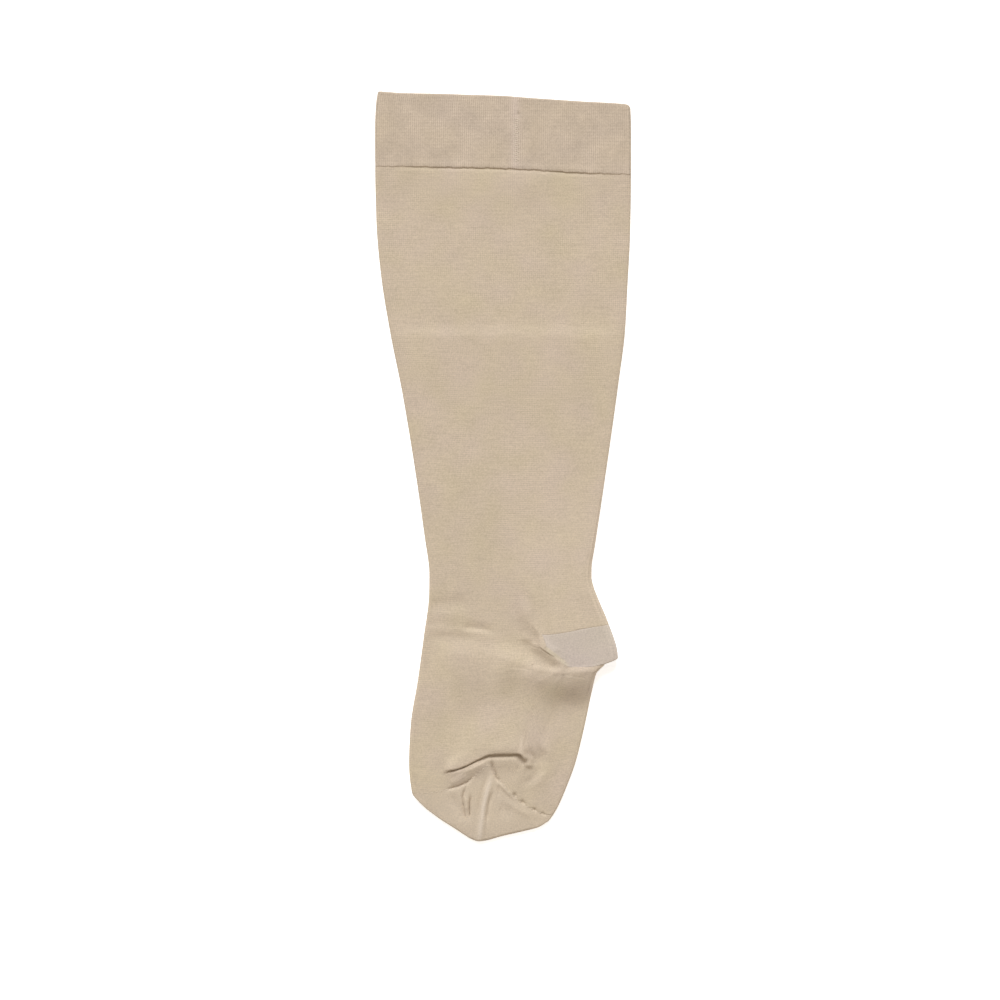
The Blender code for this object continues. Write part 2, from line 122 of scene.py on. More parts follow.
# How much higher the upper layer lies between its edges: rows of (up, height).
loft = [
    (0.0, 0.3), (14.0, 0.6), (60.0, 0.7), (97.0, 1.1), (120.0, 0.7), (150.0, 0.5), (300.0, 0.3), (380.0, 0.4),
    (414.0, 0.9),
]

# The ridge down the upper side of the toe cap: rows of (x, up).
toeRidge = [(-6.8, 40.4), (-9.3, 32.6), (-11.7, 23.0), (-12.9, 14.2), (-15.2, -4.0)]

creaseColumns = ("on", "height", "width", "below", "path")


def creaseTable(rows):
    # Names the columns of each row.
    return [dict(zip(creaseColumns, row)) for row in rows]


# Creases of the upper layer: the part of the cloth that has it where the cloth lies over itself, a ridge's
# height or a trough's depth, its half width towards the band and towards the toe, and its path of (x, up).
upperCreases = creaseTable([
    ("all", 1.1, 3.4, 22.0, [(-80.0, 310.4), (-20.0, 309.4), (30.0, 310.0), (80.0, 308.6)]),
    ("all", 0.45, 6.0, 6.0, [(2.0, 403.5), (34.0, 402.5)]),
    ("all", -0.3, 3.0, 3.0, [(-70.0, 404.0), (-30.0, 405.0)]),
    ("leg", -0.45, 0.7, 0.7, [(-68.0, 413.7), (-37.0, 413.3), (-7.0, 412.8), (22.0, 411.5),
        (44.0, 410.1), (72.0, 408.9)]),
    ("all", -1.1, 3.6, 1.4, [(-52.0, 143.0), (-38.0, 144.0), (-30.0, 144.7), (-20.0, 145.6)]),
    ("all", -0.95, 2.4, 1.2, [(-26.0, 131.8), (-20.0, 131.2), (-13.5, 130.6), (-5.0, 128.6)]),
    ("all", -0.35, 3.0, 2.0, [(-50.0, 134.6), (-36.0, 134.0), (-26.0, 132.0)]),
    ("all", -0.6, 2.2, 3.2, [(-46.0, 125.4), (-36.0, 125.7), (-27.0, 125.6), (-17.0, 124.4)]),
    ("all", 1.1, 4.4, 13.0, [(-42.0, 113.4), (-20.3, 114.2), (-1.8, 113.2), (12.0, 110.0)]),
    ("foot", 2.3, 4.6, 12.0, [(-6.0, 112.4), (8.0, 109.6), (20.0, 105.4), (32.0, 103.4)]),
    ("foot", 1.5, 2.1, 11.0, [(18.0, 105.2), (32.0, 103.7), (44.0, 103.7), (52.0, 104.2),
        (60.0, 105.3), (68.0, 107.0)]),
    ("foot", 2.6, 0.8, 3.2, [(17.0, 125.4), (20.0, 123.0), (22.0, 121.4), (27.0, 117.5),
        (32.0, 113.7), (37.0, 109.9), (40.0, 108.0)]),
    ("foot", 2.7, 0.8, 14.0, [(37.6, 112.0), (39.6, 108.5), (44.5, 107.3), (51.0, 107.4),
        (57.5, 108.6), (66.0, 111.1), (72.0, 113.0)]),
    ("foot", 0.5, 5.0, 5.0, [(28.0, 97.5), (40.0, 97.0), (62.0, 98.0)]),
    ("leg", 0.8, 2.4, 2.4, [(20.0, 124.0), (27.0, 119.0), (33.0, 114.5)]),
    ("leg", 1.4, 3.0, 3.0, [(15.2, 119.0), (15.2, 128.0), (14.2, 138.0), (13.2, 148.0)]),
    ("leg", -0.5, 2.5, 2.5, [(21.4, 119.0), (20.5, 131.0), (19.5, 140.0), (19.0, 148.0)]),
    ("foot", -1.4, 6.5, 10.0, [(30.0, 86.0), (40.0, 83.0), (50.0, 81.0), (56.0, 82.0)]),
    ("foot", -0.5, 5.0, 16.0, [(1.2, 95.0), (16.6, 92.8), (28.0, 89.5)]),
    ("foot", -0.6, 9.0, 24.0, [(-34.0, 76.0), (-12.0, 72.0), (10.0, 75.0), (24.0, 78.0)]),
    ("foot", 0.6, 3.0, 1.6, [(-10.0, 56.6), (1.2, 57.0), (10.0, 56.6)]),
    ("all", 0.6, 2.4, 2.4, [(20.5, 62.5), (27.0, 54.0), (26.0, 42.0), (17.0, 32.5)]),
    ("all", -0.7, 1.7, 1.7, [(19.0, 61.0), (24.4, 54.0), (23.2, 46.5), (18.8, 38.6), (11.0, 34.2)]),
    ("all", 1.8, 1.4, 1.4, [(12.8, 53.6), (15.8, 50.8), (15.8, 47.6), (13.6, 46.0)]),
    ("all", -0.5, 0.9, 0.9, [(15.8, 54.6), (19.2, 51.6), (19.4, 47.0)]),
    ("toes", -0.6, 0.9, 0.9, [(8.0, 51.0), (12.0, 49.4), (11.6, 46.8)]),
    ("toes", 1.3, 0.8, 4.0, [(-24.0, 42.4), (-15.0, 46.8), (-9.0, 50.2), (8.0, 50.8),
        (11.4, 49.6), (13.0, 47.6)]),
    ("toes", 1.5, 0.8, 3.0, [(-35.0, 42.0), (-30.0, 42.4), (-24.0, 44.2), (-17.0, 47.8), (-11.0, 50.8)]),
    ("toes", -0.9, 0.7, 0.7, [(-35.0, 31.9), (-27.0, 34.0), (-21.5, 36.6), (-18.2, 40.4)]),
    ("toes", 0.6, 1.4, 1.4, [(-33.0, 36.0), (-27.0, 38.0), (-22.0, 41.0)]),
    ("toes", -1.5, 0.9, 0.9, [(-7.1, 50.0), (-6.2, 44.6), (-4.4, 39.6), (-2.2, 36.0)]),
    ("toes", 0.6, 0.8, 0.8, [(-3.0, 36.6), (1.2, 32.4), (6.8, 26.4)]),
    ("toes", -1.4, 0.8, 0.8, [(6.6, 30.0), (7.4, 27.4)]),
    ("toes", -1.3, 0.7, 0.7, [(10.7, 25.4), (13.8, 22.9)]),
    ("toes", -1.2, 0.7, 0.7, [(17.8, 20.4), (20.9, 18.9)]),
    ("toes", -0.7, 0.6, 0.6, [(23.4, 17.8), (26.0, 16.2)]),
    ("toes", 1.2, 1.5, 1.5, toeRidge),
    ("toes", -0.5, 0.9, 0.9, [(-9.4, 41.0), (-12.2, 32.0), (-14.6, 22.0), (-15.9, 12.0)]),
    ("toes", -0.8, 0.9, 0.9, [(-6.6, 31.0), (-9.0, 22.0), (-10.2, 12.0)]),
    ("toes", -0.6, 0.7, 0.7, [(-3.1, 35.4), (-2.6, 28.0)]),
    ("toes", -1.4, 0.7, 0.7, [(-19.9, 28.6), (-20.5, 22.8), (-20.5, 13.4)]),
    ("toes", -1.2, 0.7, 0.7, [(-22.4, 35.0), (-24.6, 27.6), (-24.0, 19.0), (-22.4, 11.4)]),
    ("toes", 0.5, 1.3, 1.3, [(-22.6, 27.6), (-22.4, 19.0)]),
    ("toes", -0.55, 2.2, 2.2, [(-33.0, 29.6), (-28.0, 21.0), (-25.0, 12.0)]),
    ("toes", -0.5, 3.0, 3.0, [(-3.0, 20.0), (6.0, 17.6)]),
    ("toes", 0.3, 1.4, 1.4, [(1.0, 25.4), (10.0, 19.3), (18.0, 15.4)]),
])
# Creases of the lower layer, which lift a little off the table.
lowerCreases = creaseTable([
    ("all", 0.3, 4.0, 4.0, [(-78.0, 309.0), (0.0, 311.0), (78.0, 308.0)]),
    ("all", 0.35, 1.8, 1.8, [(14.0, 150.0), (34.0, 148.0), (52.0, 151.0)]),
    ("all", 0.3, 2.4, 2.4, [(-44.0, 139.0), (-24.0, 136.0)]),
    ("all", 0.4, 2.0, 2.0, [(-20.0, 74.0), (6.0, 70.0), (24.0, 73.0)]),
    ("all", 0.4, 1.4, 1.4, [(-8.0, 40.0), (-11.0, 26.0), (-10.0, 14.0)]),
    ("all", 0.35, 1.4, 1.4, [(4.0, 36.0), (2.0, 24.0)]),
])

# Rows of the grid in each stage of the stocking, from the band down to the end of the toe.
rowsIn = {"leg": 68, "pocket": 18, "tuck": 24, "foot": 100, "lip": 27, "toes": 34, "cap": 72, "shut": 6}


def smooth(x):
    # 0 up to x = 0, 1 from x = 1, and level at both: 3x² - 2x³
    x = np.clip(x, 0.0, 1.0)
    return x * x * (3.0 - 2.0 * x)


def blend(u, span):
    # The smooth step from 0 at the span's first end to 1 at its second.
    return smooth((u - span[0]) / (span[1] - span[0]))


def follow(table, at):
    # A cubic through the table's rows whose slope at each is the harmonic mean of its neighbours', or level
    # at a peak.
    key, value = np.array(table).T
    step = np.diff(key)
    slope = np.diff(value) / step
    before, after = slope[:-1], slope[1:]
    level = before * after <= 0.0
    inner = np.where(level, 0.0, 2.0 * before * after / np.where(level, 1.0, before + after))
    tangent = np.concatenate([slope[:1], inner, slope[-1:]])
    at = np.clip(at, key[0], key[-1])
    i = np.clip(np.searchsorted(key, at, side="right") - 1, 0, len(step) - 1)
    t = (at - key[i]) / step[i]
    bend = step[i] * t * (1.0 - t) * (tangent[i] * (1.0 - t) - tangent[i + 1] * t)
    return value[i] + (value[i + 1] - value[i]) * smooth(t) + bend


def across(line, u):
    # How far up a line lies at share u of the way from its left end to its right.
    return follow(line, line[0][0] + u * (line[-1][0] - line[0][0]))


def passed(s, name):
    # How much of a stage row s has passed, from 0 to 1.
    return np.clip(s - list(rowsIn).index(name), 0.0, 1.0)


def foldAt(u, tuck):
    # A fold's turning angle, and the run of cloth between its two bends.
    turn = np.pi * blend(u, tuck["opens"]) * blend(u, tuck["closes"])
    run = stocking["flatRun"] + tuck["depth"] * blend(u, tuck["deepens"]) * blend(u, tuck["closes"])
    return turn, run


def foldPath(q, turn, run):
    # A Z fold: an arc down through the turn, a straight run, and an arc forward again, a third of q for each.
    bent = turn * np.clip(3.0 * q, 0.0, 1.0)
    straight = run * np.clip(3.0 * q - 1.0, 0.0, 1.0)
    leftOver = turn * (1.0 - np.clip(3.0 * q - 2.0, 0.0, 1.0))
    radius = stocking["foldRadius"]
    on = radius * (np.sin(bent) + np.sin(turn) - np.sin(leftOver)) + straight * np.cos(turn)
    down = radius * (1.0 - np.cos(bent) + np.cos(leftOver) - np.cos(turn)) + straight * np.sin(turn)
    return on + stocking["unfolded"] * (1.0 + np.cos(turn)) / 2.0 * q, down


def relief(creases, x, up, share):
    # The sum of the creases: each is a bell of the distance from its path, which fades towards the path's
    # ends.
    total = np.zeros(np.shape(x))
    for crease in creases:
        path = np.array(crease["path"], float)
        steps = np.diff(path, axis=0)
        lengths = np.hypot(*steps.T)
        done = np.concatenate([[0.0], np.cumsum(lengths)])
        nearest = np.full(np.shape(x), np.inf)
        along = np.zeros(np.shape(x))
        side = np.zeros(np.shape(x))
        for (x0, up0), (dx, dup), length, before in zip(path[:-1], steps, lengths, done):
            t = np.clip(((x - x0) * dx + (up - up0) * dup) / length**2, 0.0, 1.0)
            distance = np.hypot(x - x0 - t * dx, up - up0 - t * dup)
            closer = distance < nearest
            along = np.where(closer, before + t * length, along)
            side = np.where(closer, (up - up0) * dx - (x - x0) * dup, side)
            nearest = np.minimum(nearest, distance)
        width = np.where(side < 0.0, crease["below"], crease["width"])
        tip, gain = stocking["creaseTip"], stocking["creaseGain"]
        fade = smooth(tip + gain * along / done[-1]) * smooth(tip + gain * (1.0 - along / done[-1]))
        total += crease["height"] * share[crease["on"]] * fade * np.exp(-(nearest**2) / (2.0 * width**2))
    return total


def fromEdge(u):
    # 0 at either edge, and smoothly up to 1 inwards.
    return smooth(np.minimum(u, 1.0 - u) / stocking["edgeShare"])


def toeRadius(u):
    # The radius of the toe's rounded end: half of the wall, the air and a crown that grows inwards from the
    # edges.
    return (stocking["wall"] + stocking["layerGap"] + stocking["toeCrown"] * fromEdge(u)) / 2.0


def upAt(s, u, upper):
    # How far up row s lies, stage after stage, and where the two folds begin and end. upper is 1 or 0.
    turn, run = foldAt(u, heelTuck)
    lipTurn, lipRun = foldAt(u, lipTuck)
    lipTurn, lipRun = lipTurn * upper, stocking["flatRun"] + (lipRun - stocking["flatRun"]) * upper
    foldFront = stocking["foldRadius"] + stocking["wall"] / 2.0
    heelStart = across(heelFold, u) + foldFront * np.sin(turn / 2.0)
    heelStop = heelStart - foldPath(1.0, turn, run)[0]
    lipStart = across(toeLip, u) + foldFront * np.sin(lipTurn / 2.0)
    lipStop = lipStart - foldPath(1.0, lipTurn, lipRun)[0]
    seam = across(toeSeam, u) * upper + across(toeSeamUnder, u) * (1.0 - upper)
    stops = [
        across(bandFoot, u) + stocking["underBand"], across(heelTop, u), heelStart, heelStop,
        lipStart, lipStop, seam, across(toeEnd, u) + stocking["wall"] / 2.0 + toeRadius(u),
    ]
    up = stops[0]
    for name, start, end in zip(rowsIn, stops[:-1], stops[1:]):
        share = passed(s, name)
        if name == "tuck":
            up = up - foldPath(share, turn, run)[0]
        elif name == "lip":
            up = up - foldPath(share, lipTurn, lipRun)[0]
        else:
            up = up + (end - start) * share
    up = up - toeRadius(u) * np.sin(passed(s, "shut") * np.pi / 2.0)
    return up, heelStart, heelStop, lipStart, lipStop


def edgesAt(s):
    # x of the cloth's middle at both ends of row s, and how far the heel's fold has drawn in the right one:
    # by the way down through the fold, and over its straight third by what is left to the sole's edge.
    upLeft = upAt(s, np.zeros(s.shape), 0.0)[0]
    upRight, heelStart, heelStop, _, _ = upAt(s, np.ones(s.shape), 0.0)
    heelTip = follow(backEdge, heelStart)
    turn, run = foldAt(1.0, heelTuck)
    stack, down = foldPath(1.0, turn, run)[1], foldPath(passed(s, "tuck"), turn, run)[1]
    drawnIn = down + (heelTip - follow(soleEdge, heelStop) - stack) * smooth(3.0 * passed(s, "tuck") - 1.0)
    right = np.where(passed(s, "tuck") > 0.0, heelTip, follow(backEdge, upRight)) - drawnIn
    right = np.where(passed(s, "foot") > 0.0, follow(soleEdge, upRight), right)
    return follow(leftEdge, upLeft) + stocking["wall"] / 2.0, right - stocking["wall"] / 2.0, drawnIn


def layersAt(s, u, x):
    # Heights of the two layers' middles, and how far up each lies. The height is the sum of the cloth that is
    # folded under row s, smooth slopes down from both folds, the loft and the creases.
    turn, run = foldAt(u, heelTuck)
    heelStack = foldPath(1.0, turn, run)[1]
    heelDown = foldPath(passed(s, "tuck"), turn, run)[1]
    lipTurn, lipRun = foldAt(u, lipTuck)
    lipStack = foldPath(1.0, lipTurn, lipRun)[1]
    lipDown = foldPath(passed(s, "lip"), lipTurn, lipRun)[1]

    lowUp = upAt(s, u, 0.0)[0]
    topUp, heelStart, heelStop, lipStart, lipStop = upAt(s, u, 1.0)
    onLeg, onFoot, beforeLip = passed(s, "tuck") == 0.0, passed(s, "foot") > 0.0, passed(s, "lip") == 0.0
    aboveHeel = (topUp - np.maximum(heelStart, heelStop)) * onLeg
    nearHeel = 1.0 - smooth(aboveHeel / stocking["heelNear"])
    bends = 4.0 * stocking["foldRadius"]  # the height of a fold's two half turns, one on the other
    spread = bends * blend(u, heelSpread)
    rise = heelStack * nearHeel + spread * (1.0 - smooth(aboveHeel / stocking["heelRise"]) - nearHeel)
    fall = 1.0 - smooth((np.minimum(heelStart, heelStop) - lowUp) / stocking["footFall"]) * onFoot
    behindLip = (topUp - np.maximum(lipStart, lipStop)) * beforeLip
    near = 1.0 - smooth(behindLip / stocking["lipNear"])
    lipRise = 1.0 - smooth(behindLip / stocking["lipRise"])
    lipSpread = bends * blend(u, lipSwell["from"]) * blend(u, lipSwell["to"])

    low = stocking["wall"] / 2.0 + heelDown * fall
    top = low + stocking["wall"] + stocking["layerGap"]
    top = top + 2.0 * (rise - heelDown) + lipStack * near + lipSpread * (lipRise - near) - lipDown
    part = {
        "all": 1.0, "leg": 1.0 - passed(s, "tuck"), "foot": passed(s, "tuck") * (1.0 - passed(s, "lip")),
        "toes": passed(s, "lip"),
    }
    inside = smooth(np.minimum(u, 1.0 - u) / stocking["creaseEdge"])
    middle = fromEdge(u) + (1.0 - fromEdge(u)) * smooth((topUp - stocking["fullFrom"]) / stocking["fullOver"])
    top = top + follow(loft, topUp) * middle + relief(upperCreases, x, topUp, part) * inside
    low = low + relief(lowerCreases, x, lowUp, part) * inside
    return low, top, lowUp, topUp


def roundTube(c, left, right, halfLeft, halfRight):
    # x round a flattened tube with half-round ends, and the height there as a share of half its thickness. c
    # runs over the upper layer (0 to 1), round the right edge, back along the lower layer (2 to 3) and round
    # the left edge (to 4).
    share = np.where(c < 2.0, np.clip(c, 0.0, 1.0), np.clip(3.0 - c, 0.0, 1.0))
    rightTurn = np.clip(c - 1.0, 0.0, 1.0) * np.pi
    leftTurn = np.clip(c - 3.0, 0.0, 1.0) * np.pi
    x = left + halfLeft + (right - halfRight - left - halfLeft) * share
    x = x + halfRight * np.sin(rightTurn) - halfLeft * np.sin(leftTurn)
    return x, np.where(c < 2.5, np.cos(rightTurn), -np.cos(leftTurn))


def stockingPoint(s, c):
    # The middle of the cloth at row s and place c round the tube. Its two layers close together as a quarter
    # turn's cosine at the toe's end.
    left, right, drawnIn = edgesAt(s)
    lowLeft, topLeft, _, _ = layersAt(s, np.zeros(s.shape), left)
    lowRight, topRight, _, _ = layersAt(s, np.ones(s.shape), right)
    parted = np.cos(passed(s, "shut") * np.pi / 2.0)
    halfLeft, halfRight = (topLeft - lowLeft) / 2.0 * parted, (topRight - lowRight) / 2.0 * parted
    x, side = roundTube(c, left, right, halfLeft, halfRight)
    u = (x - left) / (right - left)
    x = x + drawnIn * (1.0 - smooth(passed(s, "foot"))) * (u - blend(u, stocking["drawnShare"]))
    low, top, lowUp, topUp = layersAt(s, u, x)
    height = (low + top) / 2.0 + (top - low) / 2.0 * parted * side
    return np.stack([x, np.where(side > 0.0, topUp, lowUp), height], axis=-1)


band = {
    "wall": 1.8,  # the band is double
    "gap": 0.6,  # air between its two layers
    "deep": 46.0,  # from its upper edge to its lower
    "halfWidth": 78.7,  # of the stocking here
    "rimRadius": 0.9,  # both edges are rounded over this distance
    "rimRound": 0.99,  # and keep a tenth of the wall at their very end
    "ribs": 120,  # across each layer
    "edgeRibs": 3,  # round each edge
    "ribHeight": 0.14,
    "weltHeight": 0.16,  # the lower edge stands proud of the band by this much
    "weltWidth": 2.2,
    # how the lower edge waves, as sines of (height, turns, start), and how far up the band they reach
    "waves": [(0.13, 23.0, 0.4), (0.1, 41.0, 2.0), (0.08, 67.0, 4.1)], "waveReach": 8.0,
    "joinX": 8.2,  # the vertical join in the upper layer
    "joinDepth": -0.12,  # less than 0, so it is raised
    "joinWidth": 1.6,
    "knot": {"x": 9.6, "up": 446.6, "depth": 0.55, "width": 0.7},  # where the join's seam is fastened off
    "upperPerRib": 4, "lowerPerRib": 2, "roundEdge": 8,  # columns
    "upperRows": [0.0, 0.1, 0.3, 0.6, 1.0],  # rows beside the upper edge, by their distance from it
    "evenRows": 40, "evenFrom": 1.8, "evenTo": 4.5,  # those between, and their distances from both edges
    "lowerRows": [4.0, 3.3, 2.6, 1.9, 1.4, 1.0, 0.6, 0.3, 0.1, 0.0],
}


def bandPoint(s, c):
    # The middle of the band's cloth: s is 0 at its upper edge and 1 at its lower, c as on the stocking. The
    # ribs are a cosine of c, the welt, the join and its knot are bells, and the lower edge waves by a sum of
    # sines.
    left = follow(leftEdge, bandTop[0][1] * (1.0 - s) + bandFoot[0][1] * s) + band["wall"] / 2.0
    right = follow(backEdge, bandTop[-1][1] * (1.0 - s) + bandFoot[-1][1] * s) - band["wall"] / 2.0
    half = (band["wall"] + band["gap"]) / 2.0
    x, side = roundTube(c, left, right, half, half)
    u = (x - left) / (right - left)
    up = across(bandTop, u) * (1.0 - s) + across(bandFoot, u) * s
    fromFoot = up - across(bandFoot, u)
    for height, turns, start in band["waves"]:
        wave = height * np.sin(turns * np.pi * u + start)
        up = up + wave * smooth(1.0 - fromFoot / band["waveReach"]) * (side > 0.0)
    onUpper = np.clip(side, 0.0, 1.0)
    ribs = -band["ribHeight"] * (0.5 - 0.5 * np.cos(2.0 * np.pi * band["ribs"] * c))
    lift = ribs * np.where(c < 2.0, 1.0, -1.0) * ((c <= 1.0) | ((c >= 2.0) & (c <= 3.0)))
    weltPlace, weltSpread = band["weltWidth"], band["weltWidth"] / 2.0
    welt = band["weltHeight"] * np.exp(-((fromFoot - weltPlace) ** 2) / (2.0 * weltSpread**2))
    knot = band["knot"]
    join = band["joinDepth"] * np.exp(-((x - band["joinX"]) ** 2) / (2.0 * band["joinWidth"] ** 2))
    away = (x - knot["x"]) ** 2 + (up - knot["up"]) ** 2
    join = join + knot["depth"] * np.exp(-away / (2.0 * knot["width"] ** 2))
    height = band["wall"] / 2.0 + half * (1.0 + side) + lift + (welt * fromEdge(u) - join) * onUpper
    return np.stack([x, up, height], axis=-1)


def outward(point, s, c):
    # Unit normals: the cross product of the surface's slopes down the tube and round it.
    tiny = 1e-4
    lastRow = 1.0 if point is bandPoint else float(len(rowsIn))
    down = point(np.minimum(s + tiny, lastRow), c) - point(np.maximum(s - tiny, 0.0), c)
    around = point(s, (c + tiny) % 4.0) - point(s, (c - tiny) % 4.0)
    normal = np.cross(down, around)
    return normal / np.maximum(np.linalg.norm(normal, axis=-1, keepdims=True), 1e-12)


# The corners of a cell's faces as (row, column, side of the wall) steps from the cell's own corner.
cellFaces = {
    "outside": ((0, 0, 0), (1, 0, 0), (1, 1, 0), (0, 1, 0)),
    "inside": ((0, 1, 1), (1, 1, 1), (1, 0, 1), (0, 0, 1)),
    "above": ((0, 0, 0), (0, 1, 0), (0, 1, 1), (0, 0, 1)),
    "below": ((1, 1, 0), (1, 0, 0), (1, 0, 1), (1, 1, 1)),
    "left": ((1, 0, 0), (0, 0, 0), (0, 0, 1), (1, 0, 1)),
    "right": ((0, 1, 0), (1, 1, 0), (1, 1, 1), (0, 1, 1)),
}


def clothPiece(name, point, rows, columns, chosen, thickness, wales, material, shut=False):
    # The chosen cells of the grid of rows and columns, with half the thickness to each side of point(s, c).
    # Rims close the cloth's ends. The map "knit" counts wales across and millimetres of courses down.
    s, c = np.meshgrid(rows, columns, indexing="ij")
    middle = point(s, c)
    offset = outward(point, s, c) * thickness[..., None] / 2.0
    points = np.concatenate([(middle + offset).reshape(-1, 3), (middle - offset).reshape(-1, 3)])
    index = np.arange(s.size).reshape(s.shape)
    if shut:  # both layers share the last row's points
        over = np.where(columns < 2.0, np.minimum(columns, 1.0), np.maximum(3.0 - columns, 0.0))
        index[-1] = index[-1, np.argmin(np.abs(columns[None, :] - over[:, None]), axis=1)]
    step = np.linalg.norm(np.diff(middle, axis=0), axis=-1)
    down = np.concatenate([np.zeros((1, columns.size)), np.cumsum(step, axis=0)])
    course = stocking["length"] - middle[:1, :, 1] + down

    i, j = np.nonzero(chosen)
    padded = np.pad(chosen, ((1, 1), (0, 0)), constant_values=False)
    kept = {
        "outside": np.ones(i.shape, bool), "inside": np.ones(i.shape, bool),
        "above": ~padded[i, j], "below": ~padded[i + 2, j] & ~(shut & (i == len(rows) - 2)),
        "left": ~chosen[i, j - 1], "right": ~chosen[i, (j + 1) % columns.size],
    }
    corners, mapped = [], []
    for face, steps in cellFaces.items():
        row, column, wallSide = (np.array(steps)[:, k] for k in range(3))
        row, column = i[kept[face], None] + row, j[kept[face], None] + column
        wrapped = column % columns.size
        corners.append(index[row, wrapped] + s.size * wallSide)
        mapped.append(np.stack([wales[column], course[row, wrapped]], axis=-1))
    corners, mapped = np.concatenate(corners), np.concatenate(mapped)
    pointed = corners[:, 1] == corners[:, 2]
    used, renumbered = np.unique(corners, return_inverse=True)
    renumbered = renumbered.reshape(corners.shape)
    faces = renumbered[~pointed].tolist() + renumbered[pointed][:, [0, 1, 3]].tolist()
    mapped = np.concatenate([mapped[~pointed].reshape(-1, 2), mapped[pointed][:, [0, 1, 3]].reshape(-1, 2)])

    mesh = bpy.data.meshes.new(name)
    mesh.from_pydata(((points[used] - [0.0, stocking["length"] / 2.0, 0.0]) * mm).tolist(), [], faces)
    mesh.uv_layers.new(name="knit").data.foreach_set("uv", mapped.ravel().astype(np.float32))
    mesh.shade_smooth()
    mesh.materials.append(material)
    piece = bpy.data.objects.new(name, mesh)
    bpy.context.scene.collection.objects.link(piece)
    print(name, len(faces), "faces")
    return piece


class Value:
    # One output socket of a material. Sums and products of it add Math nodes.
    def __init__(self, tree, socket=None):
        self.tree = tree
        self.socket = socket

    def node(self, kind, settings={}, sockets={}, output=0):
        made = self.tree.nodes.new("ShaderNode" + kind)
        for key, setting in settings.items():
            setattr(made, key, setting)
        for key, value in sockets.items():
            if isinstance(value, Value):
                self.tree.links.new(value.socket, made.inputs[key])
            else:
                made.inputs[key].default_value = value
        return Value(self.tree, made.outputs[output])

    def math(self, operation, *others):
        return self.node("Math", {"operation": operation}, dict(enumerate((self, *others))))

    def __add__(self, other):
        return self.math("ADD", other)

    def __sub__(self, other):
        return self.math("SUBTRACT", other)

    def __rsub__(self, other):
        return self.node("Math", {"operation": "SUBTRACT"}, {0: other, 1: self})

    def __mul__(self, other):
        return self.math("MULTIPLY", other)

    __radd__ = __add__
    __rmul__ = __mul__

    def wave(self):
        # 0 to 1 and back for each whole number
        return (self * 2.0 * np.pi).math("COSINE") * -0.5 + 0.5


def knitMaterial(name, look):
    # A column of stacked V's for each wale: the stitch's height is the cosine of the course plus the distance
    # from the wale's middle, and the colour is painted darker where the stitches, wales and ribs lie low, as
    # shade in the knit's grooves. Streaks follow single courses, soft clouds change the colour a little, and in
    # patches the ribs and the inlaid thread show more.
    material = bpy.data.materials.new(name)
    material.use_nodes = True
    tree = material.node_tree
    shader = tree.nodes["Principled BSDF"]
    start = Value(tree)
    place = start.node("UVMap", {"uv_map": "knit"})
    wale = start.node("SeparateXYZ", {}, {0: place}, 0)
    course = start.node("SeparateXYZ", {}, {0: place}, 1)
    space = start.node("TexCoord", output=3)

    def noise(at, scale, detail):
        return start.node("TexNoise", {}, {"Vector": at, "Scale": scale, "Detail": detail})

    aside = ((wale * look["walesEach"]).math("FRACT") - 0.5).math("ABSOLUTE") * 2.0
    stitch = (course * (1.0 / look["courseLength"]) + aside * 0.5).wave()
    column = 1.0 - aside * aside
    rib = wale.wave()
    streakPlace = {0: wale * look["streakAcross"], 1: course * look["streakPitch"], 2: 0.0}
    streak = noise(start.node("CombineXYZ", {}, streakPlace), 1.0, 2.0) - 0.5
    cloud = noise(space, look["cloudScale"], 3.0) - 0.5
    tint = noise(space, look["tintScale"], 1.0).math("MULTIPLY_ADD", *look["tintGain"])
    grain = noise(space, look["grainScale"], 2.0) - 0.5
    patch = noise(space, look["patchScale"], 1.0).math("MULTIPLY_ADD", *look["patchGain"])
    patch = patch.math("MAXIMUM", look["patchLeast"]).math("MINIMUM", look["patchMost"])
    inlay = (course * (1.0 / look["inlayPitch"])).wave() - 0.5

    # The colour's brightness: random tone from the streaks, clouds and grain, painted shade that is darker
    # where the stitches, wales and ribs lie low, and the inlaid thread's lines.
    shade = 1.0 + streak * look["streak"] + cloud * look["cloud"] + grain * look["grain"]
    shade = shade + (stitch - 0.5) * look["stitchShade"] + (column - look["columnMean"]) * look["columnShade"]
    shade = shade + patch * ((0.5 - rib) * look["ribShade"] + inlay * look["inlayShade"])
    colour = start.node(
        "Mix", {"data_type": "RGBA", "blend_type": "MIX"},
        {0: tint, 6: (*look["warm"], 1.0), 7: (*look["cool"], 1.0)}, 2,
    )
    if "trim" in look:
        edge = start.node("Attribute", {"attribute_name": "trim"}, output=2)
        colour = start.node("Mix", {"data_type": "RGBA"}, {0: edge, 6: colour, 7: (*look["trim"], 1.0)}, 2)
    colour = start.node("VectorMath", {"operation": "SCALE"}, {0: colour, "Scale": shade})
    height = stitch * look["stitchHeight"] + column * look["columnHeight"] + (1.0 - rib) * look["ribBump"]
    height = height + grain * look["fuzzHeight"] + streak * look["streakHeight"]
    normal = start.node("Bump", {}, {"Strength": 1.0, "Distance": mm, "Height": height})
    rough = look["roughness"] + grain * look["grainRoughness"]
    tree.links.new(colour.socket, shader.inputs["Base Color"])
    tree.links.new(normal.socket, shader.inputs["Normal"])
    tree.links.new(rough.socket, shader.inputs["Roughness"])
    shader.inputs["Specular IOR Level"].default_value = look["gloss"]
    shader.inputs["Sheen Weight"].default_value = look["sheen"]
    shader.inputs["Sheen Roughness"].default_value = look["sheenRoughness"]
    return material
